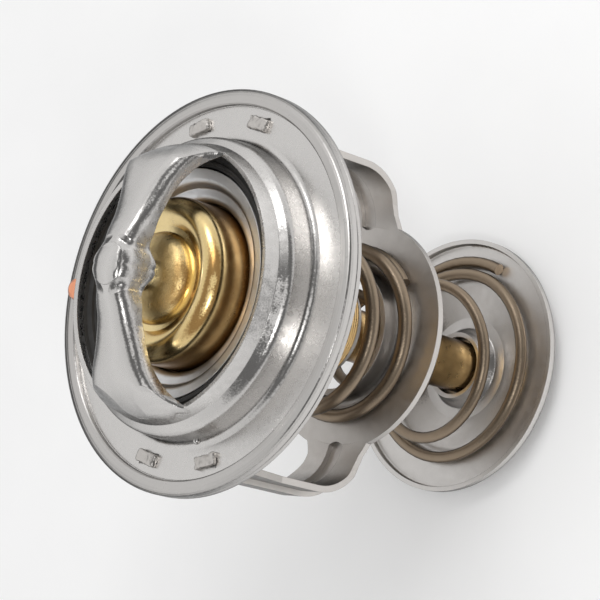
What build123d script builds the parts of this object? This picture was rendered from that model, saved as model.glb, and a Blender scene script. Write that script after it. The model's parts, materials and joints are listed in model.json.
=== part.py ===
from build123d import *
import math
import os

os.makedirs("parts", exist_ok=True)

# Coolant temperature valve with a pressed bridge, standing on its bypass disc.
# Millimetres, +Z along the valve axis towards the bridge, legs of the stirrup in +Y and -Y.

# Levels of the stack, measured from the underside of the bypass disc.
rim_z = 64.9            # front face of the raised flange rim
rim_depth = 2.5         # whole thickness of the flange edge
rim_step = 0.9          # the clamped annulus lies this far behind the rim face
cap_sheet = 0.8         # sheet of the bridge cap

# Flange
rim_r = 33.5
radial = rim_r / 33.5   # dome, tabs and seal keep their proportion to the rim
rim_land = 2.6 * radial
rim_inner_r = rim_r - rim_land
seam_depth = 0.14       # fine shut line round the flange edge
seam_z = 1.45
nest_gap = 0.15         # gap between the cap edge and the raised rim

# Domed ring of the cap, outer surface
neck_r = 22.95 * radial # foot of the upper wall
neck_z = 5.1
dome = neck_r / 22.95   # strap, seal and element keep their proportion to the dome
lip_inset = 0.55
lip_r = neck_r - lip_inset
lip_z = 7.45
wall_step = 1.55
wall_r = neck_r + wall_step
wall_z = 3.8
foot_flare = 0.45
foot_r = wall_r + foot_flare
foot_bend_r = 1.5 * radial
hole_lap = 0.05
plate_hole_r = foot_r - hole_lap

# Strap of the bridge: y, crest height, flat half width, edge half width, edge height, bend radius
strap = [
    (0.0, 20.3, 2.2, 4.9, 14.4, 1.9),
    (1.9, 20.1, 2.0, 4.5, 14.6, 1.9),
    (3.6, 19.6, 1.5, 3.6, 15.0, 1.8),
    (5.4, 18.95, 1.8, 4.0, 15.0, 1.9),
    (7.6, 18.0, 2.1, 4.3, 14.8, 1.9),
    (10.5, 16.9, 2.8, 4.7, 14.0, 1.9),
    (13.6, 16.0, 3.6, 5.2, 12.9, 1.9),
    (16.2, 15.2, 4.4, 6.1, 11.5, 2.0),
    (18.0, 14.35, 4.8, 6.9, 10.0, 2.2),
    (19.3, 13.3, 5.0, 8.0, 8.5, 2.6),
    (20.4, 11.9, 4.8, 9.3, 7.1, 3.4),
    (21.4, 10.1, 4.0, 9.6, 6.0, 4.4),
    (22.3, 7.9, 3.0, 9.0, 5.0, 5.0),
]
cup_r = 3.4             # boss round the piston tip
cup_foot_z = 14.4
cup_bore_r = 2.65
cup_roof_z = 18.6

# Stirrup
leg_sheet = 1.1
leg_inset = 2.9 * radial
leg_face_y = rim_inner_r - leg_inset
leg_bend_r = 9.5
ring_z = 35.4           # front face of the ring plate, below the rim face
ring_r = 19.6
neck_half = 6.0
leg_half = 6.6
leg_top_half = 9.3
leg_split_z = 25.0
collar_r = 10.5
collar_top_z = 31.7
rib_half = 2.2
rib_rise = 0.9
rib_start_y = 18.3
rib_top_z = 9.0
tab_x = 7.0 * radial
tab_w = 4.2 * radial
tab_head_w = 2.4 * radial
slot_gap = 0.3

# Valve disc and seal
seal_gap = 1.1          # from the foot of the upper wall to the seal
seal_r = neck_r - seal_gap
element = seal_r / 21.85 # disc and brass head keep their proportion to the seal
disc_sheet = 0.9
disc_floor_z = 0.45
disc_shelf_z = 3.2
disc_shelf_r = 16.35 * element
disc_step_r = 17.1 * element
disc_step_z = 4.7
disc_edge_r = 19.0 * element
disc_edge_z = 5.1
retainer_sheet = 0.8
retainer_inner_r = 10.5 * element
retainer_wall_r = 15.9 * element
retainer_wall_z = 1.6
retainer_slope_r = 18.4 * element
retainer_slope_z = 2.2
retainer_edge_r = 20.6 * element
retainer_edge_z = 3.4
seal_top_z = 6.1

# Piston and temperature element
piston_r = 2.6
piston_foot_z = 7.0
piston_fit = 0.03
cover_r = 13.6 * element
cover_lip_r = 10.0 * element
cover_top_z = 10.0
knob_r = 7.4 * element
knob_z = 12.0
capsule_r = 9.3 * element
capsule_end_z = 28.2
capsule_wall = 1.2
flare_r = 12.65 * element # flared end of the capsule, inside the rolled brass head
flare_z = 0.5
diaphragm_z = 2.0
diaphragm_h = 1.0
plug_r = 4.0
plug_top_z = 6.5
stem_r = 4.5

# Bypass disc
bypass_sheet = 0.8
bypass_r = 22.5
bypass_rim_z = 60.6
bypass_seat_z = 61.7
bypass_hub_z = 64.1
bypass_hole_r = 5.1
collar_tip_z = 61.3
collar_bend_z = 63.0
collar_bend_r = 2.0
hub_r = 9.2             # flat of the hub
track_r = 14.9          # inner edge of the spring track
clip_r = 5.85
clip_h = 0.9

# Springs
main_wire = 2.4
main_r = 14.2
main_turns = 5.6
main_end_angle = 37.0
bypass_wire = 2.0
bypass_turns = 4.6
bypass_end_angle = 65.0
bypass_radii = [        # turn, coil radius
    (0.0, 18.7), (0.5, 16.6), (1.0, 16.3), (1.5, 14.0), (2.0, 12.9), (2.5, 11.0), (3.0, 9.2), (3.8, 7.1),
    (bypass_turns, 6.1),
]
bypass_rise = [         # turn, depth of the free coils below the rim face
    (1.5, 56.9), (2.0, 52.7), (2.5, 47.8), (3.0, 42.7), (3.8, 35.2),
]

# Vent
vent_foot_r = 1.5
vent_gap = 0.4          # between the foot of the head and the raised rim
vent_x = rim_inner_r - vent_foot_r - vent_gap
vent_hole_r = 1.2
vent_shank_r = 0.9
vent_head_r = 1.9
vent_head_h = 3.6
vent_play = 1.5


def rim(z):
    return rim_z + z


def arc_through(centre, radius, a0, a1, lift):
    pts = []
    for a in (a0, 0.5 * (a0 + a1), a1):
        pts.append(lift(centre[0] + radius * math.cos(a), centre[1] + radius * math.sin(a)))
    return ThreePointArc(*pts)


def sheet(path, thick, lift=lambda u, v: (u, 0, v)):
    # Face of constant thickness round a centreline given as (u, v) or (u, v, bend radius).
    nodes = []
    for i, p in enumerate(path):
        if i in (0, len(path) - 1) or len(p) == 2:
            nodes.append((p[0], p[1], 0.0))
        else:
            nodes.append(p)
    sides = []
    for side in (0.5 * thick, -0.5 * thick):
        edges = []
        last = None
        for i in range(len(nodes)):
            u, v, r = nodes[i]
            if i < len(nodes) - 1:
                d1 = math.atan2(nodes[i + 1][1] - v, nodes[i + 1][0] - u)
            if i > 0:
                d0 = math.atan2(v - nodes[i - 1][1], u - nodes[i - 1][0])
            if i == 0:
                last = (u - side * math.sin(d1), v + side * math.cos(d1))
                continue
            if i == len(nodes) - 1:
                end = (u - side * math.sin(d0), v + side * math.cos(d0))
                edges.append(Line(lift(*last), lift(*end)))
                last = end
                continue
            turn = (d1 - d0 + math.pi) % (2 * math.pi) - math.pi
            if r <= 0:
                k = side / math.cos(0.5 * turn)
                m = d0 + 0.5 * turn
                corner = (u - k * math.sin(m), v + k * math.cos(m))
                edges.append(Line(lift(*last), lift(*corner)))
                last = corner
                continue
            cut = r * math.tan(0.5 * abs(turn))
            hand = 1 if turn > 0 else -1
            start = (u - cut * math.cos(d0), v - cut * math.sin(d0))
            centre = (start[0] - hand * r * math.sin(d0), start[1] + hand * r * math.cos(d0))
            rr = r - hand * side
            a0 = d0 - hand * 0.5 * math.pi
            a1 = a0 + turn
            first = (centre[0] + rr * math.cos(a0), centre[1] + rr * math.sin(a0))
            if math.hypot(first[0] - last[0], first[1] - last[1]) > 1e-6:
                edges.append(Line(lift(*last), lift(*first)))
            edges.append(arc_through(centre, rr, a0, a1, lift))
            last = (centre[0] + rr * math.cos(a1), centre[1] + rr * math.sin(a1))
        sides.append(edges)
    left, right = sides
    cap0 = Line(left[0] @ 0, right[0] @ 0)
    cap1 = Line(left[-1] @ 1, right[-1] @ 1)
    return make_face(left + right + [cap0, cap1])


def turned(points):
    # Solid of revolution from (radius, height) corners.
    pts = [(r, 0, z) for r, z in points]
    return revolve(make_face(Polyline(*pts, close=True)), Axis.Z)


def pressed(path, thick):
    return revolve(sheet(path, thick), Axis.Z)


def tube(r1, r0, z0, z1):
    return turned([(r0, z0), (r1, z0), (r1, z1), (r0, z1)])


def coil(radius, height, turns, wire, start):
    # Spring wire swept along a spiral; radius and height are functions of the turn.
    steps = int(turns * 10) + 1
    pts = []
    for i in range(steps + 1):
        n = turns * i / steps
        a = math.radians(start) + 2 * math.pi * n
        pts.append((radius(n) * math.cos(a), radius(n) * math.sin(a), height(n)))
    path = Spline(*pts)
    return sweep(Plane(origin=path @ 0, z_dir=path % 0) * Circle(wire / 2), path=path)


def ramp(table):
    # Smooth interpolation through (turn, value) pairs.
    def value(n):
        for (n0, v0), (n1, v1) in zip(table, table[1:]):
            if n <= n1:
                break
        return v0 + (v1 - v0) * (n - n0) / (n1 - n0)
    return value


def strap_face(y, crest, flat, edge_x, edge_z, bend, slope):
    # Channel section of the strap: land, rounded bends, flanks down to the edges.
    reach = math.hypot(edge_x - flat, edge_z - crest + bend)
    low = math.atan2(edge_z - crest + bend, edge_x - flat) + math.acos(min(1.0, bend / reach))
    thick = cap_sheet * math.hypot(1.0, slope)
    side = [(0.5 * flat, 0, 0, 1)]
    for k in range(4):
        a = 0.5 * math.pi + (low - 0.5 * math.pi) * k / 3
        side.append((flat + bend * math.cos(a), bend * math.sin(a) - bend, math.cos(a), math.sin(a)))
    side.append((edge_x, edge_z - crest, math.cos(low), math.sin(low)))
    row = [(-x, z, -nx, nz) for x, z, nx, nz in reversed(side)] + [(0, 0, 0, 1)] + side
    top = rim(crest)
    outer = Spline(*[(x, y, top + z) for x, z, nx, nz in row])
    inner = Spline(*[(x - cap_sheet * nx, y, top + z - thick * nz) for x, z, nx, nz in row])
    return make_face([outer, inner, Line(outer @ 0, inner @ 0), Line(outer @ 1, inner @ 1)])


annulus_z = -rim_step
plate_front_z = annulus_z - cap_sheet

# Bridge cap: annulus, stepped ring and strap, pressed from one sheet
hc = 0.5 * cap_sheet
cap_ring = pressed([
    (rim_inner_r - nest_gap, rim(annulus_z - hc)),
    (foot_r - hc, rim(annulus_z - hc), foot_bend_r),
    (wall_r - hc, rim(wall_z - 0.5 * hc), 1.0),
    (neck_r - 0.8 * hc, rim(neck_z - 0.6 * hc), 0.6),
    (lip_r - hc, rim(lip_z)),
], cap_sheet)
rows = [(row[0] * dome, *row[1:]) for row in strap]
rows = [(-rows[1][0], *rows[1][1:])] + rows
sections = []
for i, row in enumerate(rows):
    before = rows[max(i - 1, 0)]
    after = rows[min(i + 1, len(rows) - 1)]
    slope = (after[1] - before[1]) / (after[0] - before[0])
    sections.append(strap_face(*row, slope))
half_strap = split(loft(sections), Plane.XZ, keep=Keep.BOTTOM)
skin = [(neck_r - 0.05, rim(neck_z)), (lip_r + 0.05, rim(lip_z)), (21.75 * dome, rim(9.6)),
        (20.3 * dome, rim(12.3)), (17.5 * dome, rim(16))]
closing = [skin[-1], (17.5 * dome, rim(24)), (0, rim(24)), (0, rim(neck_z)), skin[0]]
half_strap &= revolve(make_face([Plane.XZ * Spline(*skin), Plane.XZ * Polyline(*closing)]), Axis.Z)
strap_body = half_strap + mirror(half_strap, Plane.XZ)
under_r = foot_r - 2 * hc
strap_body -= turned([
    (0, rim(-3)), (under_r, rim(-3)), (under_r, rim(0)), (wall_r - 2 * hc, rim(wall_z - hc)),
    (neck_r - 2 * hc, rim(neck_z - hc)), (neck_r - 2 * hc - 0.02, rim(neck_z)),
    (lip_r - 2 * hc + 0.2, rim(seal_top_z + 0.3)), (0, rim(seal_top_z + 0.3))])
cup = Pos(0, 0, rim(cup_foot_z)) * extrude(Circle(cup_r), strap[0][1] - hc - cup_foot_z)
bridge_cap = cap_ring + strap_body + cup
bridge_cap -= Pos(0, 0, rim(cup_foot_z - 1)) * extrude(Circle(cup_bore_r), cup_roof_z - cup_foot_z + 1)

# Small press mark at the foot of the ring
bridge_cap += Pos(4.9, -foot_r + 0.55, rim(0.1)) * Sphere(0.6)

# Flange plate: flat ring with the raised rim that the cap nests in
flange_plate = turned([
    (plate_hole_r, rim(-rim_depth)), (rim_r - 0.25, rim(-rim_depth)), (rim_r, rim(-rim_depth + 0.25)),
    (rim_r, rim(-seam_z - 0.1)), (rim_r - seam_depth, rim(-seam_z)), (rim_r, rim(-seam_z + 0.1)),
    (rim_r, rim(-0.35)), (rim_r - 0.12, rim(-0.1)), (rim_r - 0.4, rim(0)),
    (rim_inner_r + 0.25, rim(0)), (rim_inner_r, rim(-0.25)),
    (rim_inner_r, rim(plate_front_z)), (plate_hole_r, rim(plate_front_z)),
])

# Stirrup: two legs, ring plate with a collar, ribs and clenched tabs
leg_mid = leg_face_y - 0.5 * leg_sheet
plate_mid = rim(-ring_z - 0.5 * leg_sheet)
up = lambda u, v: (0, u, v)
legs = extrude(sheet([
    (leg_mid, rim(-rim_depth)), (leg_mid, plate_mid, leg_bend_r),
    (-leg_mid, plate_mid, leg_bend_r), (-leg_mid, rim(-rim_depth)),
], leg_sheet, up), leg_top_half, both=True)
plan = Polyline(
    (leg_half, 40), (leg_half, 24.5), (neck_half, 22.3), (neck_half, 20.6), (7.2, 17.9),
    (9.4, 16.7), (10.6, 16.5), (12.0, 15.2), (12.0, 0), (0, 0), (0, 40), close=True)
plan_half = make_face(plan) + mirror(make_face(plan), Plane.YZ)
plan_mask = plan_half + mirror(plan_half, Plane.XZ)
low_mask = Pos(0, 0, rim(-ring_z - 6)) * extrude(plan_mask, ring_z + 6 - leg_split_z)
side = Polyline(
    (leg_half, rim(-leg_split_z)), (leg_half, rim(-18)), (leg_top_half, rim(-9)), (leg_top_half, rim(3)),
    (-leg_top_half, rim(3)), (-leg_top_half, rim(-9)), (-leg_half, rim(-18)), (-leg_half, rim(-leg_split_z)),
    close=True)
high_mask = extrude(Plane.XZ * make_face(side), 40, both=True)
stirrup = (legs & low_mask) + (legs & high_mask)
stirrup -= Pos(0, 0, rim(-ring_z - 2)) * extrude(Circle(ring_r - 0.8), 3)
stirrup += pressed([
    (ring_r, plate_mid), (collar_r, plate_mid, 1.7), (collar_r, rim(-collar_top_z))], leg_sheet)
for s in (1, -1):
    dent = 0.5 * (rib_rise - leg_sheet - 0.45)
    rib_path = [
        (s * (leg_mid + dent), rim(-rim_depth)),
        (s * (leg_mid + dent), plate_mid - dent, leg_bend_r + dent), (0, plate_mid - dent)]
    out_path = [
        (s * (leg_mid + rib_rise), rim(-rim_depth)),
        (s * (leg_mid + rib_rise), plate_mid - rib_rise, leg_bend_r + rib_rise),
        (0, plate_mid - rib_rise)]
    slot_plan = make_face(Polyline((-rib_half, 40), (rib_half, 40), (rib_half, rib_start_y + rib_half),
                                   (-rib_half, rib_start_y + rib_half), close=True))
    slot_plan += Pos(0, rib_start_y + rib_half) * Circle(rib_half)
    reach_z = rim(-ring_z + 6)
    low = Pos(0, 0, rim(-ring_z - 6)) * extrude(slot_plan, 12)
    head_z = rim(-rib_top_z - rib_half)
    high_shape = make_face(Polyline((-rib_half, reach_z), (rib_half, reach_z), (rib_half, head_z),
                                    (-rib_half, head_z), close=True))
    high_shape += Pos(0, head_z) * Circle(rib_half)
    high = extrude(Plane.XZ * high_shape, -40)
    mask = low + high
    if s < 0:
        mask = mirror(mask, Plane.XZ)
    outer = extrude(sheet(out_path, leg_sheet, up), rib_half, both=True) & mask
    inner = extrude(sheet(rib_path, rib_rise + 0.45, up), rib_half - 0.6, both=True)
    stirrup += outer
    stirrup -= inner & mask
tab_z = rim(-rim_depth)
for sx in (1, -1):
    for sy in (1, -1):
        shank = Pos(sx * tab_x, sy * leg_mid, 0.5 * (tab_z + rim(annulus_z + 0.5))) * Box(
            tab_w, leg_sheet, rim(annulus_z + 0.5) - tab_z)
        head = Pos(sx * tab_x, sy * (leg_face_y - 0.5 * tab_head_w), rim(annulus_z + 0.5))
        head = head * Box(tab_w, tab_head_w, 0.9)
        head = fillet(head.edges(), 0.25)
        stirrup += shank + head
        slot = Pos(sx * tab_x, sy * (leg_mid + 0.1), rim(-1.5))
        slot = slot * Box(tab_w + slot_gap, leg_sheet + 0.5, 8)
        bridge_cap -= slot
        flange_plate -= slot

# Vent hole through cap and flange plate
vent_hole = Pos(-vent_x, 0, rim(-4)) * extrude(Circle(vent_hole_r), 6)
bridge_cap -= vent_hole
flange_plate -= vent_hole

# Loose vent pin: domed head above, peened ball below
vent_pin = Pos(-vent_x, 0, 0) * turned([
    (0, rim(-rim_depth - vent_play - 1.0)), (vent_shank_r, rim(-rim_depth - vent_play - 1.0)),
    (vent_shank_r, rim(annulus_z + 0.05)), (vent_foot_r, rim(annulus_z + 0.05)),
    (vent_foot_r, rim(0.4)), (vent_head_r, rim(0.8)), (vent_head_r, rim(annulus_z + vent_head_h - 1.0)),
    (vent_head_r - 0.3, rim(annulus_z + vent_head_h - 0.35)),
    (vent_head_r - 0.9, rim(annulus_z + vent_head_h)), (0, rim(annulus_z + vent_head_h))])
vent_ball = Pos(-vent_x, 0, rim(-rim_depth - vent_play - 1.7)) * Sphere(1.75)
vent_ball -= vent_pin

# Piston held in the cup of the bridge
piston = turned([
    (0, rim(piston_foot_z)), (piston_r, rim(piston_foot_z)), (piston_r, rim(cup_roof_z - 1.4)),
    (piston_r - 1.3, rim(cup_roof_z - 0.1)), (0, rim(cup_roof_z - 0.1))])

# Brass head of the element with the guide bore: rolled shoulder, groove and domed knob
bore_r = piston_r + piston_fit
groove_r = knob_r + 1.2 * element
cover_seat = Polyline(
    (bore_r, 0, rim(knob_z)), (bore_r, 0, rim(plug_top_z)), (plug_r, 0, rim(plug_top_z)),
    (plug_r, 0, rim(diaphragm_z + diaphragm_h)), (flare_r + 0.05, 0, rim(diaphragm_z + diaphragm_h)),
    (flare_r + 0.05, 0, rim(flare_z)), (cover_r, 0, rim(flare_z)), (cover_r, 0, rim(7.0)))
shoulder = Spline(
    (cover_r, 0, rim(7.0)), (cover_r - 0.35, 0, rim(8.7)), (cover_r - 1.4, 0, rim(9.7)),
    (cover_r - 2.7, 0, rim(cover_top_z)), (cover_lip_r, 0, rim(9.75)), (groove_r, 0, rim(8.95)),
    tangents=[(0, 0, 1), (-1, 0, -0.6)])
groove = Line((groove_r, 0, rim(8.95)), (knob_r + 0.2, 0, rim(8.95)))
knob = Spline(
    (knob_r + 0.2, 0, rim(8.95)), (knob_r - 0.1, 0, rim(10.0)), (knob_r - 1.1, 0, rim(11.15)),
    (knob_r - 2.8, 0, rim(knob_z - 0.2)), (bore_r, 0, rim(knob_z)),
    tangents=[(0, 0, 1), (-1, 0, 0)])
guide_cover = revolve(make_face([cover_seat, shoulder, groove, knob]), Axis.Z)

# Capsule, wax, diaphragm, plug and disc behind the piston
capsule_body = turned([
    (0, rim(-capsule_end_z)), (capsule_r - 1.0, rim(-capsule_end_z)),
    (capsule_r, rim(-capsule_end_z + 1.0)), (capsule_r, rim(flare_z)), (flare_r, rim(flare_z)),
    (flare_r, rim(diaphragm_z)), (capsule_r - capsule_wall, rim(diaphragm_z)),
    (capsule_r - capsule_wall, rim(-capsule_end_z + 2.2)), (0, rim(-capsule_end_z + 2.2))])
capsule_body -= Pos(0, 0, rim(-capsule_end_z)) * extrude(Circle(3.2), 1.4)
wax_charge = Pos(0, 0, rim(-capsule_end_z + 2.2)) * extrude(
    Circle(capsule_r - capsule_wall), capsule_end_z - 2.2 + diaphragm_z)
diaphragm = Pos(0, 0, rim(diaphragm_z)) * extrude(Circle(flare_r), diaphragm_h)
seal_plug = Pos(0, 0, rim(diaphragm_z + diaphragm_h)) * extrude(
    Circle(plug_r), plug_top_z - diaphragm_z - diaphragm_h)
chafe_disc = Pos(0, 0, rim(plug_top_z)) * extrude(Circle(piston_r), piston_foot_z - plug_top_z)

# Valve disc, rubber seal and the retainer that the main spring bears on
half = 0.5 * disc_sheet
valve_disc = pressed([
    (capsule_r + 0.05, rim(disc_floor_z - half)), (cover_r + 0.2 + half, rim(disc_floor_z - half), 0.8),
    (cover_r + 0.2 + half, rim(disc_shelf_z - half), 0.8), (disc_shelf_r, rim(disc_shelf_z - half), 0.7),
    (disc_step_r, rim(disc_step_z - half), 0.9), (disc_edge_r, rim(disc_edge_z - half))], disc_sheet)
retainer_low = disc_floor_z - disc_sheet
hr = 0.5 * retainer_sheet
seal_retainer = pressed([
    (retainer_inner_r, rim(retainer_low - hr)), (retainer_wall_r, rim(retainer_low - hr), 0.9),
    (retainer_wall_r, rim(retainer_wall_z), 0.8), (retainer_slope_r, rim(retainer_slope_z), 1.2),
    (retainer_edge_r, rim(retainer_edge_z))], retainer_sheet)
valve_seal = turned([
    (17.3 * element, rim(2.9)), (18.3 * element, rim(2.9)), (20.4 * element, rim(4.0)), (seal_r, rim(4.0)),
    (seal_r, rim(4.9)), (seal_r - 0.3, rim(seal_top_z)), (seal_r - 0.65, rim(seal_top_z)),
    (seal_r - 0.85, rim(5.7)), (seal_r - 1.45, rim(5.55)), (seal_r - 1.65, rim(5.75)),
    (seal_r - 1.95, rim(5.7)), (seal_r - 2.15, rim(5.3)), (19.25 * element, rim(5.2)),
    (19.2 * element, rim(4.15)), (17.4 * element, rim(3.65))])

# Stem towards the bypass disc, spring seat and retaining clip
stem_end = 0.2
bypass_stem = turned([
    (0, stem_end), (stem_r - 0.4, stem_end), (stem_r, stem_end + 0.4), (stem_r, rim(-capsule_end_z)),
    (3.2, rim(-capsule_end_z)), (3.2, rim(-capsule_end_z + 1.4)), (0, rim(-capsule_end_z + 1.4))])
spring_seat = tube(8.2, stem_r, rim(-capsule_end_z - 0.8), rim(-capsule_end_z))
stem_clip = tube(clip_r, stem_r, stem_end + 0.05, stem_end + 0.05 + clip_h)

# Bypass disc: rolled rim, flat spring track, dished hub with a collar round the stem hole
hb = 0.5 * bypass_sheet
bypass_disc = pressed([
    (bypass_hole_r + hb, rim(-collar_tip_z)), (bypass_hole_r + hb + 0.4, rim(-collar_bend_z), collar_bend_r),
    (7.0, rim(-bypass_hub_z - hb), 0.8), (hub_r, rim(-bypass_hub_z - hb), 0.8),
    (track_r, rim(-bypass_seat_z - hb), 2.0), (bypass_r - hb, rim(-bypass_seat_z - hb), 0.75),
    (bypass_r - hb, rim(-bypass_rim_z))], bypass_sheet)

# Springs
main_top = retainer_low - retainer_sheet - 0.5 * main_wire
main_low = -ring_z + 0.5 * main_wire
main_height = ramp([
    (0.0, rim(main_low)), (0.8, rim(main_low + 0.25)), (1.0, rim(main_low + 1.6)),
    (main_turns - 1.0, rim(main_top - 1.6)), (main_turns - 0.8, rim(main_top - 0.25)),
    (main_turns, rim(main_top))])
main_spring = coil(lambda n: main_r, main_height, main_turns, main_wire, main_end_angle)
bypass_low = -bypass_seat_z + 0.5 * bypass_wire
bypass_top = -capsule_end_z - 0.8 - 0.5 * bypass_wire
bypass_height = ramp([
    (0.0, rim(bypass_low)), (0.5, rim(bypass_low + 0.15)), (1.0, rim(bypass_low + 0.8)),
    *[(turn, rim(-depth)) for turn, depth in bypass_rise], (bypass_turns, rim(bypass_top))])
bypass_spring = coil(ramp(bypass_radii), bypass_height, bypass_turns, bypass_wire, bypass_end_angle)

nodes = {
    "bridge_cap": bridge_cap,
    "flange_plate": flange_plate,
    "stirrup": stirrup,
    "piston": piston,
    "main_spring": main_spring,
    "guide_cover": guide_cover,
    "capsule_body": capsule_body,
    "wax_charge": wax_charge,
    "diaphragm": diaphragm,
    "seal_plug": seal_plug,
    "chafe_disc": chafe_disc,
    "valve_disc": valve_disc,
    "valve_seal": valve_seal,
    "seal_retainer": seal_retainer,
    "bypass_stem": bypass_stem,
    "spring_seat": spring_seat,
    "stem_clip": stem_clip,
    "bypass_disc": bypass_disc,
    "bypass_spring": bypass_spring,
    "vent_pin": vent_pin,
    "vent_ball": vent_ball,
}
for name, body in nodes.items():
    export_step(body, "parts/" + name + ".step")
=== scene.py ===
import json
import math

import bmesh
import bpy
from bpy.props import FloatProperty, FloatVectorProperty, IntProperty, PointerProperty
from bpy.types import Operator, Panel, PropertyGroup
from mathutils import Matrix, Vector

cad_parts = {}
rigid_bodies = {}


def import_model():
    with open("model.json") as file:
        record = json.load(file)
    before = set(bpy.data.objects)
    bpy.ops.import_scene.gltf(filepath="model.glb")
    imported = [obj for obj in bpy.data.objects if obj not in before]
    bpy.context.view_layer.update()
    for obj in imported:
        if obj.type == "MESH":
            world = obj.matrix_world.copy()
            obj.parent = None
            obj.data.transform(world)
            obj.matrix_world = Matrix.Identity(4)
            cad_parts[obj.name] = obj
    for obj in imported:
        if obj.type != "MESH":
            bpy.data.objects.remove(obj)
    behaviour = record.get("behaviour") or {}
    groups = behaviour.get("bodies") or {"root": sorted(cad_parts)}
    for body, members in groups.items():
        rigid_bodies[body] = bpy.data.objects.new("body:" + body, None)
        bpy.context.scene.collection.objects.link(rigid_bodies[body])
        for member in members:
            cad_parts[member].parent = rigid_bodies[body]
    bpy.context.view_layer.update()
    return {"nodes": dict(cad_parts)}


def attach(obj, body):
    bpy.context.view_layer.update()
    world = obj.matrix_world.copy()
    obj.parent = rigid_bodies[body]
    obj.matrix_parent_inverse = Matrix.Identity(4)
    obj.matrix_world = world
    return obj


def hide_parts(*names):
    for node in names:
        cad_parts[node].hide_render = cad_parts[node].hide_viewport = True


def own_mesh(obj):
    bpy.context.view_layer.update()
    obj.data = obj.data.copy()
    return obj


bl_info = {
    "name": "Coolant valve finish",
    "version": (1, 0, 0),
    "blender": (4, 5, 0),
    "location": "View3D > Sidebar > Coolant valve",
    "description": "Metals, rubber, springs and studio stage for a bridge-type coolant valve",
    "category": "Object",
}

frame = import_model()
MM = 0.001
RIM_Z = 0.0649          # height of the flange face above the bypass disc's underside
RANGE_KEYS = ("From Min", "From Max", "To Min", "To Max")


def rim(z):
    """Height in metres of a level given in millimetres from the flange face."""
    return RIM_Z + z * MM


# Springs and edge bead: levels in millimetres from the flange face, lengths in metres

MAIN_COIL_R = 14.2 * MM
MAIN_TURNS = 5.6
MAIN_START = 37.0       # degrees from +X
MAIN_SEAT_Z = -35.4     # on the ring plate, the end that stays
MAIN_TOP_Z = -1.25
MAIN_KEEP = 0.7657      # share of the length left at the joint's limit
END_TURN = 0.8          # closed end turn
END_RISE = 0.25 * MM
OPEN_TURN = 1.0         # from here the coil is open
OPEN_RISE = 1.6 * MM
BYPASS_START = 65.0
BYPASS_SEAT_Z = -29.0
BYPASS_KEEP = 0.8777
BYPASS_ROWS = (         # turn, coil radius, level
    (0.0, 18.7, -60.7), (0.5, 16.6, -60.55), (1.0, 16.3, -59.9), (1.5, 14.0, -56.9), (2.0, 12.9, -52.7),
    (2.5, 11.0, -47.8), (3.0, 9.2, -42.7), (3.8, 7.1, -35.2), (4.6, 6.1, -30.0),
)
BEAD_R = 30.84 * MM     # shut line between the cap and the raised rim
BEAD_Z = -0.95
BEAD_WIRE_R = 0.15 * MM

# Tabs and lamps

TAB_CUT_Z = -0.87       # the flat tab tops above this give way to the hammered heads
LAMP_AIM = Vector((0, 0, 0.05))
KEY_SPOT = (0.16, 0.30, 0.42)
KEY_SIZE = (0.30, 0.14)
FILL_SPOT = (0.36, -0.16, 0.33)
FILL_SIZE = (0.07, 0.07)


# Properties

def colour(name, about, value):
    return FloatVectorProperty(name=name, description=about, default=value, size=3,
                               min=0, max=1, subtype="COLOR")


def amount(name, about, value, top=1.0):
    return FloatProperty(name=name, description=about, default=value, min=0.0, max=top)


def length(name, about, value):
    return FloatProperty(name=name, description=about, default=value, min=0.0,
                         subtype="DISTANCE", unit="LENGTH")


def angle(name, about, degrees):
    return FloatProperty(name=name, description=about, default=math.radians(degrees), subtype="ANGLE")


def count(name, about, value, low, high):
    return IntProperty(name=name, description=about, default=value, min=low, max=high)


class ValveColours(PropertyGroup):
    bridge: colour("Bridge steel", "Bright pressed sheet of the bridge cap", (0.59, 0.575, 0.56))
    flange: colour("Flange steel", "Turned edge of the flange plate", (0.50, 0.485, 0.47))
    stirrup: colour("Stirrup steel", "Sheet of the stirrup frame", (0.54, 0.515, 0.49))
    disc: colour("Disc steel", "Bypass disc, seal retainer and spring seat", (0.60, 0.58, 0.56))
    seat: colour("Valve disc steel", "Sheet of the valve disc", (0.66, 0.66, 0.66))
    ground: colour("Ground steel", "Piston and stem clip", (0.50, 0.50, 0.50))
    brass: colour("Bright brass", "Pressed head of the temperature element", (0.80, 0.60, 0.28))
    capsule: colour("Turned brass", "Capsule and stem", (0.70, 0.48, 0.22))
    wire: colour("Spring wire", "Tempered spring wire", (0.25, 0.195, 0.14))
    rubber: colour("Rubber", "Moulded seal", (0.022, 0.021, 0.020))
    copper: colour("Vent pin", "Copper-coloured pin", (0.80, 0.34, 0.20))
    wax: colour("Wax", "Wax fill of the element", (0.55, 0.33, 0.20))
    slip: colour("Slip disc", "Disc between plug and piston", (0.80, 0.80, 0.77))
    roughness: amount("Steel roughness", "Roughness of the bright sheet", 0.27)


class ValveSprings(PropertyGroup):
    main_wire: length("Main wire", "Wire thickness of the main spring", 2.4 * MM)
    bypass_wire: length("Bypass wire", "Wire thickness of the bypass spring", 2.0 * MM)
    wire_sides: count("Wire sides", "Sides of the round wire", 20, 8, 48)
    turn_steps: count("Steps in a turn", "Points along one turn", 56, 16, 128)


class ValveTabs(PropertyGroup):
    long: length("Length", "Length of a head along the rim", 4.5 * MM)
    wide: length("Width", "Width of a head across the rim", 2.1 * MM)
    thick: length("Thickness", "Thickness of a head", 1.2 * MM)
    spread_x: length("Spread along X", "Distance between the two tabs of one leg", 14.0 * MM)
    spread_y: length("Spread along Y", "Distance between the tabs of the two legs", 54.9 * MM)
    level: length("Level", "Height of the middle of the heads", rim(-0.62))
    twist: angle("Twist", "Turn of each head", 15)
    dents: length("Dents", "Depth of the hammer marks", 0.9 * MM)


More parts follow.
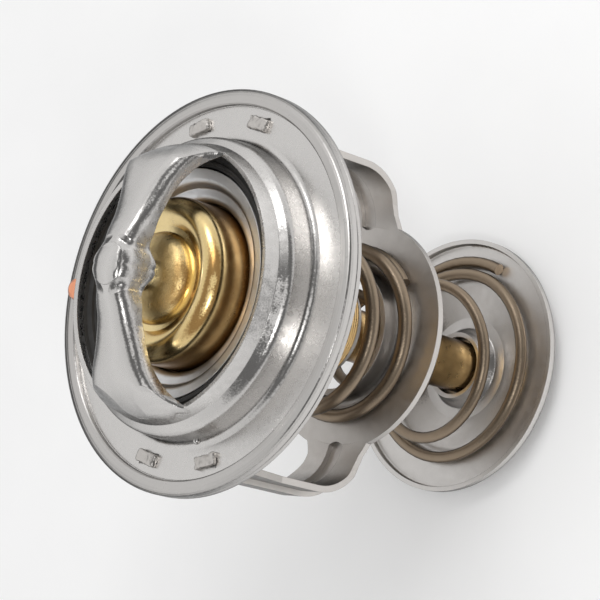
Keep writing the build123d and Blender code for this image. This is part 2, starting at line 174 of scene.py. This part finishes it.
class ValveStage(PropertyGroup):
    azimuth: angle("Camera azimuth", "Angle from +X", -11.742)
    elevation: angle("Camera elevation", "Angle above the flange plane", 42.828)
    roll: angle("Camera roll", "Turn of the camera's upright", 73.202)
    distance: length("Camera distance", "From the aim point", 464.01 * MM)
    aim: FloatVectorProperty(name="Aim point", description="Where the camera looks",
                             default=(0.64 * MM, 3.07 * MM, 43.42 * MM), subtype="TRANSLATION")
    lens: amount("Lens", "Focal length in millimetres", 167.92, 500.0)
    floor: colour("Floor", "Pale floor", (0.95, 0.95, 0.95))
    surround: amount("Surround", "Strength of the white surround as a light", 0.96)
    key: amount("Key light", "Power of the large overhead lamp in watts", 0.75, 100.0)
    fill: amount("Fill light", "Power of the front lamp in watts", 0.30, 100.0)


# Materials

# Brass colours for the painted dark reflection bands and the painted highlight of the head
HEAD_PAINTED_DARK_BAND = (0.34, 0.20, 0.07)
HEAD_PAINTED_HIGHLIGHT = (0.95, 0.76, 0.40)
# darker tone for the foot of the head's outer wall
HEAD_WALL_FOOT_DARK = (0.36, 0.20, 0.07)
TURNED_PAINTED_DARK_BAND = (0.20, 0.10, 0.03)
COPPER_PAINTED_DARK_BAND = (0.50, 0.20, 0.12)


class Nodes:
    """Adds nodes to one material, with short ways for sums, noise, ramps and bumps."""

    def __init__(self, name):
        self.mat = bpy.data.materials.new(name)
        self.mat.use_nodes = True
        self.tree = self.mat.node_tree
        self.tree.nodes.clear()
        self.out = self.add("ShaderNodeOutputMaterial")
        self.shader = self.add("ShaderNodeBsdfPrincipled")
        self.link(self.shader.outputs["BSDF"], self.out.inputs["Surface"])
        coords = self.add("ShaderNodeTexCoord")
        self.place = coords.outputs["Object"]
        self.side = coords.outputs["Normal"]
        self.grain_inputs = []

    def add(self, kind, **values):
        node = self.tree.nodes.new(kind)
        for key, value in values.items():
            setattr(node, key, value)
        return node

    def link(self, a, b):
        self.tree.links.new(a, b)

    def noise(self, scale, detail, grit=0.55, place=None):
        node = self.add("ShaderNodeTexNoise")
        node.inputs["Scale"].default_value = scale
        node.inputs["Detail"].default_value = detail
        node.inputs["Roughness"].default_value = grit
        self.link(place or self.place, node.inputs["Vector"])
        return node.outputs["Fac"]

    def ramp(self, value, stops):
        node = self.add("ShaderNodeValToRGB")
        elements = node.color_ramp.elements
        while len(elements) < len(stops):
            elements.new(0.5)
        for element, (at, tone) in zip(elements, stops):
            element.position = at
            element.color = (*tone, 1.0)
        self.link(value, node.inputs["Fac"])
        return node.outputs["Color"]

    def range(self, value, low, high, to_low, to_high):
        node = self.add("ShaderNodeMapRange")
        for key, number in zip(RANGE_KEYS, (low, high, to_low, to_high)):
            node.inputs[key].default_value = number
        self.link(value, node.inputs["Value"])
        return node.outputs["Result"]

    def math(self, kind, a, b=None):
        node = self.add("ShaderNodeMath", operation=kind)
        for socket, value in zip(node.inputs, (a, b)):
            if value is None:
                continue
            if isinstance(value, (int, float)):
                socket.default_value = value
            else:
                self.link(value, socket)
        return node.outputs["Value"]

    def product(self, first, *others):
        for other in others:
            first = self.math("MULTIPLY", first, other)
        return first

    def total(self, first, *others):
        for other in others:
            first = self.math("ADD", first, other)
        return first

    def square(self, value):
        return self.math("POWER", value, 2)

    def wander(self, scale, detail, reach):
        """Noise centred on zero."""
        return self.product(self.math("SUBTRACT", self.noise(scale, detail), 0.5), reach)

    def split(self, vector):
        node = self.add("ShaderNodeSeparateXYZ")
        self.link(vector, node.inputs["Vector"])
        return node.outputs

    def radius(self):
        """Distance from the valve axis, and the three coordinates."""
        spot = self.split(self.place)
        return self.math("SQRT", self.total(self.square(spot["X"]), self.square(spot["Y"]))), spot

    def tint(self, base, value, spread):
        """Base colour that drifts a little lighter and darker with a noise value."""
        light = tuple(min(1.0, c * (1 + spread)) for c in base)
        dark = tuple(c * (1 - spread) for c in base)
        self.link(self.ramp(value, ((0.3, dark), (0.7, light))), self.shader.inputs["Base Color"])

    def rough(self, scale, detail, low, high, grit=0.55):
        """Roughness that wanders between two values."""
        polish = self.range(self.noise(scale, detail, grit), 0.3, 0.7, low, high)
        self.link(polish, self.shader.inputs["Roughness"])

    def bump(self, value, strength, depth):
        node = self.add("ShaderNodeBump")
        node.inputs["Strength"].default_value = strength
        node.inputs["Distance"].default_value = depth
        self.link(value, node.inputs["Height"])
        last = self.shader.inputs["Normal"].links
        if last:
            self.link(last[0].from_socket, node.inputs["Normal"])
        self.link(node.outputs["Normal"], self.shader.inputs["Normal"])

    def set(self, **values):
        for key, value in values.items():
            self.shader.inputs[key.replace("_", " ")].default_value = value


def painted_reflection_tone(n, dark, mid, bright, patch):
    """Painted reflection on polished metal by its slant to the view: mid square on, then a painted dark
    reflection band, then a painted highlight, and painted shade towards grazing.

    Faces square to an axis are kept out of the painted dark band, so that a flat sheet stays even.
    """
    weight = n.add("ShaderNodeLayerWeight")
    weight.inputs["Blend"].default_value = 0.5
    n.grain_inputs.append(weight.inputs["Normal"])
    drift = n.product(n.math("SUBTRACT", patch, 0.5), 0.10)
    facing = n.total(weight.outputs["Facing"], n.total(drift, n.wander(3600, 2, 0.09)))
    square = 0.0
    for part in n.split(n.side):
        square = n.math("MAXIMUM", square, n.math("ABSOLUTE", part))
    facing = n.math("MAXIMUM", facing, n.range(square, 0.95, 0.99, 0.0, 0.17))
    # painted reflection stops: a painted dark band near square on, a painted highlight band, painted
    # shade towards grazing
    stops = ((0.0, mid), (0.025, dark), (0.085, dark), (0.15, mid), (0.34, bright), (0.55, mid),
             (0.78, tuple(c * 0.7 for c in dark)), (1.0, tuple(c * 0.4 for c in dark)))
    n.link(n.ramp(facing, stops), n.shader.inputs["Base Color"])


def edged(n, radius):
    """Rounds the drawn normal at sharp sheet edges so that they catch a line of light."""
    node = n.add("ShaderNodeBevel", samples=4)
    node.inputs["Radius"].default_value = radius
    n.link(node.outputs["Normal"], n.shader.inputs["Normal"])


def settle(n):
    """Hands the finished normal to the nodes that asked for it."""
    for socket in n.grain_inputs:
        for cord in n.shader.inputs["Normal"].links:
            n.link(cord.from_socket, socket)
    return n.mat


def scaled(base, factor):
    return tuple(min(1.0, c * factor) for c in base)


def pressed_steel(name, base, rough, grain=0.07, low=0.24, relief=None):
    """Bright rolled sheet: painted reflection tone that shifts in faint patches, fine speckled grain and
    a soft uneven polish; low sets the painted dark band as a share of the base colour.
    """
    n = Nodes(name)
    n.set(Metallic=1.0)
    edged(n, 0.16 * MM)
    if relief:
        relief(n)
    n.bump(n.noise(5600, 3, 0.7), grain, 0.0001)
    n.bump(n.noise(420, 2), 0.05, 0.0004)
    # painted reflection tone: low sets the painted dark band, 1.2 the painted highlight
    painted_reflection_tone(n, scaled(base, low), tuple(base), scaled(base, 1.2), n.noise(340, 5, 0.6))
    n.rough(900, 5, rough - 0.06, rough + 0.08, 0.65)
    return settle(n)


def strap_relief(n):
    """Rounds the crest of the strap and the top of its boss, and pinches two dents beside the boss."""
    r, spot = n.radius()
    across = n.math("ABSOLUTE", spot["X"])
    along = n.math("ABSOLUTE", spot["Y"])
    arm = n.range(spot["Z"], rim(8.5), rim(10.5), 0.0, 1.0)
    bow = n.range(along, 9 * MM, 19 * MM, -60.0, -8.0)
    crown = n.product(n.square(spot["X"]), bow, arm)
    boss = n.product(n.math("LESS_THAN", r, 3.5 * MM), n.math("GREATER_THAN", spot["Z"], rim(19.8)))
    flank = n.math("MAXIMUM", n.math("SUBTRACT", across, 1.9 * MM), 0.0)
    crown = n.total(crown, n.product(n.square(flank), -260.0, boss))
    from_x = n.math("SUBTRACT", across, 2.3 * MM)
    from_y = n.math("SUBTRACT", along, 3.5 * MM)
    skew = n.total(from_y, n.product(from_x, 0.5))
    far = n.math("SQRT", n.total(n.square(from_x), n.product(n.square(skew), 2.5)))
    dent = n.product(n.range(far, 0.2 * MM, 1.7 * MM, -0.42 * MM, 0.0), arm)
    near = n.range(along, 4 * MM, 9 * MM, 1.0, 0.15)
    ripple = n.product(n.wander(260, 2, 0.18 * MM), near)
    n.bump(n.total(crown, dent, n.product(ripple, arm)), 1.0, 1.0)


def rim_lines(n):
    """Fine rings left by the trimming of the flange edge, and its rolled outer shoulder."""
    r, spot = n.radius()
    line = n.add("ShaderNodeCombineXYZ")
    n.link(r, line.inputs["X"])
    n.link(spot["Z"], line.inputs["Y"])
    n.bump(n.noise(2400, 2, place=line.outputs["Vector"]), 0.6, 0.00015)
    out = n.square(n.math("MAXIMUM", n.math("SUBTRACT", r, 32.0 * MM), 0.0))
    front = n.math("GREATER_THAN", spot["Z"], rim(-0.5))
    n.bump(n.product(out, -330.0, front), 1.0, 1.0)


def turned_brass(name, base, rough, rings, ring_depth, painted_dark_band=TURNED_PAINTED_DARK_BAND):
    """Brass with fine turning rings round the valve axis or along the capsule, and a painted reflection
    tone with a painted dark band and a painted highlight.
    """
    n = Nodes(name)
    n.set(Metallic=1.0)
    r, spot = n.radius()
    lane = n.total(n.product(r, rings), n.product(spot["Z"], rings))
    n.bump(n.math("SINE", lane), ring_depth, 0.00006)
    n.bump(n.noise(2600, 2), 0.03, 0.0001)
    # painted reflection tone: painted dark band, and a painted highlight at 1.3 times the base
    painted_reflection_tone(n, painted_dark_band, tuple(base), scaled(base, 1.3), n.noise(300, 4))
    n.rough(700, 4, rough - 0.05, rough + 0.09)
    return settle(n)


def head_brass(name, base):
    """Bright pressed brass: painted reflection tone, polished shoulder, crumpled knob with faint darker
    patches, and an outer wall that is darker towards its foot.
    """
    n = Nodes(name)
    n.set(Metallic=1.0)
    r, spot = n.radius()
    knob = n.range(r, 6.8 * MM, 7.6 * MM, 1.0, 0.0)
    n.bump(n.product(n.noise(1300, 5, 0.7), knob), 0.55, 0.00025)
    n.bump(n.noise(380, 2), 0.05, 0.0003)
    # painted reflection tone: painted dark band and painted highlight in brass colours
    painted_reflection_tone(n, HEAD_PAINTED_DARK_BAND, tuple(base), HEAD_PAINTED_HIGHLIGHT, n.noise(240, 4))
    # mixes in a darker tone towards the foot of the outer wall, with faint random patches above it
    share = n.total(n.range(spot["Z"], rim(6.6), rim(8.6), 0.85, 0.0), n.wander(600, 4, 0.3))
    wall = n.add("ShaderNodeMix", data_type="RGBA")
    factor, tone, wall_foot_dark = (wall.inputs[k] for k in (0, 6, 7))
    n.link(share, factor)
    n.link(n.shader.inputs["Base Color"].links[0].from_socket, tone)
    wall_foot_dark.default_value = (*HEAD_WALL_FOOT_DARK, 1.0)
    n.link(wall.outputs[2], n.shader.inputs["Base Color"])
    polish = n.range(n.noise(500, 3), 0.3, 0.7, 0.18, 0.28)
    n.link(n.total(polish, n.product(knob, 0.08)), n.shader.inputs["Roughness"])
    return settle(n)


def spring_steel(name, base):
    """Tempered wire: brown oxide under a painted reflection tone, with a painted highlight and a painted
    dark band that shift in lighter and darker patches.
    """
    n = Nodes(name)
    n.set(Metallic=0.9)
    n.bump(n.noise(3000, 3), 0.06, 0.0001)
    # painted reflection tone: painted dark band at 0.55, painted highlight at 1.25 times the base
    painted_reflection_tone(n, scaled(base, 0.55), base, scaled(base, 1.25), n.noise(180, 4))
    n.rough(900, 4, 0.32, 0.44)
    return settle(n)


def moulded_rubber(name, base):
    """Black rubber with a faint bloom and moulding grain."""
    n = Nodes(name)
    n.set(Specular_IOR_Level=0.4)
    n.tint(base, n.noise(500, 4), 0.35)
    n.rough(800, 3, 0.38, 0.55)
    n.bump(n.noise(2400, 4), 0.10, 0.0001)
    return n.mat


def plain_solid(name, base, rough):
    """Hidden or small solid with light grain."""
    n = Nodes(name)
    n.tint(base, n.noise(700, 3), 0.08)
    n.rough(900, 3, rough - 0.05, rough + 0.05)
    n.bump(n.noise(1800, 3), 0.05, 0.0001)
    return n.mat


def dress(node, material):
    body = frame["nodes"][node]
    for place in body.material_slots:
        place.link = "OBJECT"
        place.material = material


# Geometry Nodes

class Tree:
    """One Geometry Nodes tree with named inputs, and short ways to add sums, ramps and vectors."""

    def __init__(self, name, inputs):
        self.tree = bpy.data.node_groups.new(name, "GeometryNodeTree")
        self.tree.interface.new_socket("Geometry", in_out="OUTPUT", socket_type="NodeSocketGeometry")
        self.ids = {}
        for label, kind, value in inputs:
            item = self.tree.interface.new_socket(label, in_out="INPUT", socket_type=kind)
            item.default_value = value
            self.ids[label] = item.identifier
        self.source = self.add("NodeGroupInput")
        self.sink = self.add("NodeGroupOutput")

    def add(self, kind, **values):
        node = self.tree.nodes.new(kind)
        for key, value in values.items():
            setattr(node, key, value)
        return node

    def feed(self, socket, value):
        if isinstance(value, (int, float, tuple)):
            socket.default_value = value
        else:
            self.tree.links.new(value, socket)

    def math(self, kind, a, b=0.0):
        node = self.add("ShaderNodeMath", operation=kind)
        self.feed(node.inputs[0], a)
        self.feed(node.inputs[1], b)
        return node.outputs[0]

    def vector(self, **parts):
        node = self.add("ShaderNodeCombineXYZ")
        for key, value in parts.items():
            self.feed(node.inputs[key], value)
        return node.outputs["Vector"]

    def split(self, vector):
        node = self.add("ShaderNodeSeparateXYZ")
        self.feed(node.inputs["Vector"], vector)
        return node.outputs

    def finish(self, geometry, material):
        """Ends the tree with real geometry and its material."""
        real = self.add("GeometryNodeRealizeInstances")
        self.feed(real.inputs["Geometry"], geometry)
        paint = self.add("GeometryNodeSetMaterial")
        self.feed(paint.inputs["Geometry"], real.outputs["Geometry"])
        paint.inputs["Material"].default_value = material
        self.feed(self.sink.inputs["Geometry"], paint.outputs["Geometry"])
        return self

    def table(self, turn, rows):
        """Piecewise ramp through (turn, value) rows."""
        total = rows[0][1]
        for (n0, v0), (n1, v1) in zip(rows, rows[1:]):
            step = self.add("ShaderNodeMapRange")
            for key, number in zip(RANGE_KEYS, (n0, n1, 0.0, v1 - v0)):
                step.inputs[key].default_value = number
            self.feed(step.inputs["Value"], turn)
            total = self.math("ADD", total, step.outputs["Result"])
        return total


def coil_tree(name, turns, start, radii, heights, material):
    """Wire along a coil whose radius and height are ramps of the turn."""
    t = Tree(name, [("Wire radius", "NodeSocketFloat", 0.001), ("Wire sides", "NodeSocketInt", 16),
                    ("Steps", "NodeSocketInt", 200)])
    line = t.add("GeometryNodeCurvePrimitiveLine")
    again = t.add("GeometryNodeResampleCurve")
    t.feed(again.inputs["Curve"], line.outputs["Curve"])
    t.feed(again.inputs["Count"], t.source.outputs["Steps"])
    share = t.add("GeometryNodeSplineParameter").outputs["Factor"]
    turn = t.math("MULTIPLY", share, turns)
    angle_at = t.math("ADD", t.math("MULTIPLY", turn, 2 * math.pi), math.radians(start))
    radius = t.table(turn, radii)
    spot = t.vector(X=t.math("MULTIPLY", radius, t.math("COSINE", angle_at)),
                    Y=t.math("MULTIPLY", radius, t.math("SINE", angle_at)),
                    Z=t.table(turn, heights))
    put = t.add("GeometryNodeSetPosition")
    t.feed(put.inputs["Geometry"], again.outputs["Curve"])
    t.feed(put.inputs["Position"], spot)
    ring = t.add("GeometryNodeCurvePrimitiveCircle")
    t.feed(ring.inputs["Resolution"], t.source.outputs["Wire sides"])
    t.feed(ring.inputs["Radius"], t.source.outputs["Wire radius"])
    wire = t.add("GeometryNodeCurveToMesh")
    t.feed(wire.inputs["Curve"], put.outputs["Geometry"])
    t.feed(wire.inputs["Profile Curve"], ring.outputs["Curve"])
    wire.inputs["Fill Caps"].default_value = True
    return t.finish(wire.outputs["Mesh"], material)


def crown_tree(name, material):
    """Four hammered heads over the clenched tabs, each twisted a little the way its tab was bent."""
    t = Tree(name, [("Crown", "NodeSocketVector", (0.005, 0.003, 0.001)),
                    ("Spread", "NodeSocketVector", (0.01, 0.05, 0.0)),
                    ("Twist", "NodeSocketFloat", 0.1), ("Dents", "NodeSocketFloat", 0.0002)])
    spread = t.split(t.source.outputs["Spread"])
    grid = t.add("GeometryNodeMeshGrid")
    t.feed(grid.inputs["Size X"], spread["X"])
    t.feed(grid.inputs["Size Y"], spread["Y"])
    grid.inputs["Vertices X"].default_value = 2
    grid.inputs["Vertices Y"].default_value = 2
    lift = t.add("GeometryNodeTransform")
    t.feed(lift.inputs["Geometry"], grid.outputs["Mesh"])
    t.feed(lift.inputs["Translation"], t.vector(Z=spread["Z"]))
    block = t.add("GeometryNodeMeshCube")
    t.feed(block.inputs["Size"], t.source.outputs["Crown"])
    for side, points in (("X", 7), ("Y", 5), ("Z", 3)):
        block.inputs["Vertices " + side].default_value = points
    place = t.split(t.add("GeometryNodeInputPosition").outputs["Position"])
    hand = t.math("SIGN", t.math("MULTIPLY", place["X"], place["Y"]))
    twist = t.math("MULTIPLY", t.math("MULTIPLY", hand, -1.0), t.source.outputs["Twist"])
    put = t.add("GeometryNodeInstanceOnPoints")
    t.feed(put.inputs["Points"], lift.outputs["Geometry"])
    t.feed(put.inputs["Instance"], block.outputs["Mesh"])
    t.feed(put.inputs["Rotation"], t.vector(Z=twist))
    real = t.add("GeometryNodeRealizeInstances")
    t.feed(real.inputs["Geometry"], put.outputs["Instances"])
    smooth = t.add("GeometryNodeSubdivisionSurface")
    t.feed(smooth.inputs["Mesh"], real.outputs["Geometry"])
    smooth.inputs["Level"].default_value = 2
    noise = t.add("ShaderNodeTexNoise")
    noise.inputs["Scale"].default_value = 620.0
    noise.inputs["Detail"].default_value = 3.0
    height = t.math("SUBTRACT", noise.outputs["Fac"], 0.5)
    push = t.add("ShaderNodeVectorMath", operation="SCALE")
    t.feed(push.inputs[0], t.add("GeometryNodeInputNormal").outputs["Normal"])
    t.feed(push.inputs["Scale"], t.math("MULTIPLY", height, t.source.outputs["Dents"]))
    dent = t.add("GeometryNodeSetPosition")
    t.feed(dent.inputs["Geometry"], smooth.outputs["Mesh"])
    t.feed(dent.inputs["Offset"], push.outputs["Vector"])
    return t.finish(dent.outputs["Geometry"], material)


def baked(name, tree, values):
    """Runs a tree on an empty mesh and keeps the result as a plain mesh."""
    seed = bpy.data.objects.new(name, bpy.data.meshes.new(name + "_seed"))
    bpy.context.collection.objects.link(seed)
    modifier = seed.modifiers.new("make", "NODES")
    modifier.node_group = tree.tree
    for label, value in values.items():
        modifier[tree.ids[label]] = value
    bpy.context.view_layer.update()
    ready = seed.evaluated_get(bpy.context.evaluated_depsgraph_get())
    mesh = bpy.data.meshes.new_from_object(ready)
    seed.modifiers.remove(modifier)
    seed.data = mesh
    mesh.name = name
    mesh.shade_smooth()
    mesh.set_sharp_from_angle(angle=math.radians(40))
    return seed


def trimmed(name, solid, level):
    """Copy of a CAD piece without the faces that stand wholly above a level."""
    mesh = solid.data.copy()
    mesh.name = name
    bm = bmesh.new()
    bm.from_mesh(mesh)
    over = [f for f in bm.faces if min(v.co.z for v in f.verts) > level]
    bmesh.ops.delete(bm, geom=over, context="FACES")
    bm.to_mesh(mesh)
    bm.free()
    piece = bpy.data.objects.new(name, mesh)
    bpy.context.collection.objects.link(piece)
    return piece


# Operators

class VALVE_OT_metals(Operator):
    """Give every CAD piece its metal, rubber or wax"""
    bl_idname = "valve.metals"
    bl_label = "Metals and rubber"

    def execute(self, context):
        c = context.scene.valve_colours
        # low sets how dark each sheet's painted dark reflection band is
        bright = pressed_steel("bridge_sheet", c.bridge, c.roughness, relief=strap_relief)
        edge = pressed_steel("flange_sheet", c.flange, c.roughness + 0.05, relief=rim_lines)
        frame_sheet = pressed_steel("stirrup_sheet", c.stirrup, c.roughness + 0.14, low=0.5)
        disc = pressed_steel("disc_sheet", c.disc, c.roughness + 0.10, grain=0.0, low=0.4)
        seat = pressed_steel("seat_sheet", c.seat, 0.42, grain=0.05, low=0.5)
        brass = head_brass("head_brass", c.brass)
        turned = turned_brass("capsule_brass", c.capsule, 0.27, 14000.0, 0.25)
        drawn = turned_brass("stem_brass", c.capsule, 0.30, 3000.0, 0.02)
        rubber = moulded_rubber("seal_rubber", tuple(c.rubber))
        ground = pressed_steel("ground_steel", c.ground, 0.18)
        copper = turned_brass("vent_copper", c.copper, 0.32, 9000.0, 0.05, COPPER_PAINTED_DARK_BAND)
        wax = plain_solid("wax_fill", tuple(c.wax), 0.55)
        slip = plain_solid("slip_disc", tuple(c.slip), 0.40)
        for nodes, material in (
            (("bridge_cap",), bright), (("flange_plate",), edge), (("stirrup",), frame_sheet),
            (("guide_cover",), brass), (("capsule_body",), turned), (("bypass_stem",), drawn),
            (("valve_disc",), seat), (("seal_retainer", "spring_seat", "bypass_disc"), disc),
            (("valve_seal", "diaphragm", "seal_plug"), rubber), (("piston", "stem_clip"), ground),
            (("vent_pin", "vent_ball"), copper), (("wax_charge",), wax), (("chafe_disc",), slip),
        ):
            for node in nodes:
                dress(node, material)
        return {"FINISHED"}


class VALVE_OT_springs(Operator):
    """Wind the main spring and the conical bypass spring"""
    bl_idname = "valve.springs"
    bl_label = "Springs"

    def execute(self, context):
        s = context.scene.valve_springs
        wire = spring_steel("spring_wire", tuple(context.scene.valve_colours.wire))
        low = rim(MAIN_SEAT_Z) + s.main_wire / 2
        top = rim(MAIN_TOP_Z) - s.main_wire / 2
        main_path = {
            "turns": MAIN_TURNS, "start": MAIN_START,
            "radii": [(0.0, MAIN_COIL_R), (MAIN_TURNS, MAIN_COIL_R)],
            "heights": [(0.0, low), (END_TURN, low + END_RISE), (OPEN_TURN, low + OPEN_RISE),
                        (MAIN_TURNS - OPEN_TURN, top - OPEN_RISE),
                        (MAIN_TURNS - END_TURN, top - END_RISE), (MAIN_TURNS, top)]}
        bypass_path = {
            "turns": BYPASS_ROWS[-1][0], "start": BYPASS_START,
            "radii": [(turn, r * MM) for turn, r, z in BYPASS_ROWS],
            "heights": [(turn, rim(z)) for turn, r, z in BYPASS_ROWS]}
        coils = (
            ("main_spring", main_path, s.main_wire, "housing_side",
             "valve_lift", rim(MAIN_SEAT_Z), MAIN_KEEP),
            ("bypass_spring", bypass_path, s.bypass_wire, "element",
             "bypass_give", rim(BYPASS_SEAT_Z), BYPASS_KEEP),
        )
        sheet = bpy.data.materials["bridge_sheet"]
        level = rim(BEAD_Z)
        bead = coil_tree("edge_bead_tree", 1.0, 0.0, [(0.0, BEAD_R), (1.0, BEAD_R)],
                         [(0.0, level), (1.0, level)], sheet)
        ring = baked("edge_bead", bead, {"Wire radius": BEAD_WIRE_R, "Wire sides": 10, "Steps": 361})
        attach(ring, "housing_side")
        for node, path, thick, body, joint, held, keep in coils:
            tree = coil_tree(node + "_wire_tree", material=wire, **path)
            steps = int(path["turns"] * s.turn_steps)
            piece = baked(node + "_wire", tree,
                          {"Wire radius": thick / 2, "Wire sides": s.wire_sides, "Steps": steps})
            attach(piece, body)
            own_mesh(piece)
            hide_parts(node)
        return {"FINISHED"}


class VALVE_OT_tabs(Operator):
    """Put hammered heads on the four clenched tabs in place of their flat tops"""
    bl_idname = "valve.tabs"
    bl_label = "Clenched tabs"

    def execute(self, context):
        k = context.scene.valve_tabs
        colours = context.scene.valve_colours
        # the hammered heads get a deeper painted dark reflection band (low=0.3)
        sheet = pressed_steel("clenched_sheet", colours.stirrup, 0.38, grain=0.3, low=0.3)
        tree = crown_tree("tab_crown_tree", sheet)
        values = {"Crown": (k.long, k.wide, k.thick), "Spread": (k.spread_x, k.spread_y, k.level),
                  "Twist": k.twist, "Dents": k.dents}
        piece = baked("tab_crowns", tree, values)
        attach(piece, "housing_side")
        body = trimmed("stirrup_frame", frame["nodes"]["stirrup"], rim(TAB_CUT_Z))
        body.data.materials.clear()
        body.data.materials.append(bpy.data.materials["stirrup_sheet"])
        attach(body, "housing_side")
        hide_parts("stirrup")
        return {"FINISHED"}


def lamp(name, spot, size, power):
    data = bpy.data.lights.new(name, "AREA")
    data.shape = "RECTANGLE"
    data.size, data.size_y = size
    data.energy = power
    holder = bpy.data.objects.new(name, data)
    bpy.context.collection.objects.link(holder)
    holder.location = spot
    holder.rotation_euler = (LAMP_AIM - holder.location).to_track_quat("-Z", "Y").to_euler()


def floor_plane(tone):
    """Pale floor just under the underside of the bypass disc."""
    bpy.ops.mesh.primitive_plane_add(size=6.0, location=(0, 0, -0.05 * MM))
    floor = bpy.context.active_object
    floor.name = "floor"
    n = Nodes("pale_floor")
    n.set(Roughness=0.9, Specular_IOR_Level=0.1)
    n.tint(tone, n.noise(40, 2), 0.01)
    floor.data.materials.append(n.mat)


def white_world(strength):
    """White to the camera and in reflections, and a little weaker as a light."""
    world = bpy.data.worlds.new("surround")
    bpy.context.scene.world = world
    world.use_nodes = True
    tree = world.node_tree
    tree.nodes.clear()
    out = tree.nodes.new("ShaderNodeOutputWorld")
    back = tree.nodes.new("ShaderNodeBackground")
    path = tree.nodes.new("ShaderNodeLightPath")
    seen = path.outputs["Is Camera Ray"]
    for label in ("Is Glossy Ray", "Is Transmission Ray"):
        join = tree.nodes.new("ShaderNodeMath")
        join.operation = "MAXIMUM"
        tree.links.new(seen, join.inputs[0])
        tree.links.new(path.outputs[label], join.inputs[1])
        seen = join.outputs[0]
    level = tree.nodes.new("ShaderNodeMapRange")
    level.inputs["To Min"].default_value = strength
    level.inputs["To Max"].default_value = 1.0
    tree.links.new(seen, level.inputs["Value"])
    tree.links.new(level.outputs["Result"], back.inputs["Strength"])
    tree.links.new(back.outputs["Background"], out.inputs["Surface"])


def camera_at(st):
    """Camera at an azimuth and elevation round the aim point, turned by the roll."""
    level = math.cos(st.elevation)
    toward = Vector((level * math.cos(st.azimuth), level * math.sin(st.azimuth), math.sin(st.elevation)))
    ahead = -toward
    side = ahead.cross(Vector((0, 0, 1))).normalized()
    rise = side.cross(ahead)
    up = math.cos(st.roll) * rise + math.sin(st.roll) * side
    right = ahead.cross(up)
    spot = Vector(st.aim) + st.distance * toward
    data = bpy.data.cameras.new("camera")
    data.lens = st.lens
    data.sensor_width = 36.0
    data.clip_start = 0.01
    data.clip_end = 20.0
    camera = bpy.data.objects.new("camera", data)
    bpy.context.collection.objects.link(camera)
    turn = Matrix((right, up, toward)).transposed().to_4x4()
    camera.matrix_world = Matrix.Translation(spot) @ turn
    bpy.context.scene.camera = camera


class VALVE_OT_stage(Operator):
    """Set the pale floor, soft lamps, white surround and the camera"""
    bl_idname = "valve.stage"
    bl_label = "Stage"

    def execute(self, context):
        st = context.scene.valve_stage
        context.scene.view_settings.view_transform = "Standard"
        floor_plane(tuple(st.floor))
        white_world(st.surround)
        lamp("key_lamp", KEY_SPOT, KEY_SIZE, st.key)
        lamp("fill_lamp", FILL_SPOT, FILL_SIZE, st.fill)
        camera_at(st)
        return {"FINISHED"}


class VALVE_PT_panel(Panel):
    """Lists the steps in the order they run"""
    bl_idname = "VALVE_PT_panel"
    bl_label = "Coolant valve"
    bl_space_type = "VIEW_3D"
    bl_region_type = "UI"
    bl_category = "Coolant valve"

    def draw(self, context):
        for step in STEPS:
            self.layout.operator(step)
        for group in GROUPS:
            data = getattr(context.scene, group)
            for key in data.__annotations__:
                self.layout.prop(data, key)


STEPS = ("valve.metals", "valve.springs", "valve.tabs", "valve.stage")
GROUPS = {"valve_colours": ValveColours, "valve_springs": ValveSprings, "valve_tabs": ValveTabs,
          "valve_stage": ValveStage}
CLASSES = (ValveColours, ValveSprings, ValveTabs, ValveStage, VALVE_OT_metals, VALVE_OT_springs,
           VALVE_OT_tabs, VALVE_OT_stage, VALVE_PT_panel)


def register():
    for kind in CLASSES:
        bpy.utils.register_class(kind)
    for name, group in GROUPS.items():
        setattr(bpy.types.Scene, name, PointerProperty(type=group))


def unregister():
    for name in GROUPS:
        delattr(bpy.types.Scene, name)
    for kind in reversed(CLASSES):
        bpy.utils.unregister_class(kind)


def main():
    register()
    bpy.ops.valve.metals()
    bpy.ops.valve.springs()
    bpy.ops.valve.tabs()
    bpy.ops.valve.stage()


if __name__ == "__main__":
    main()
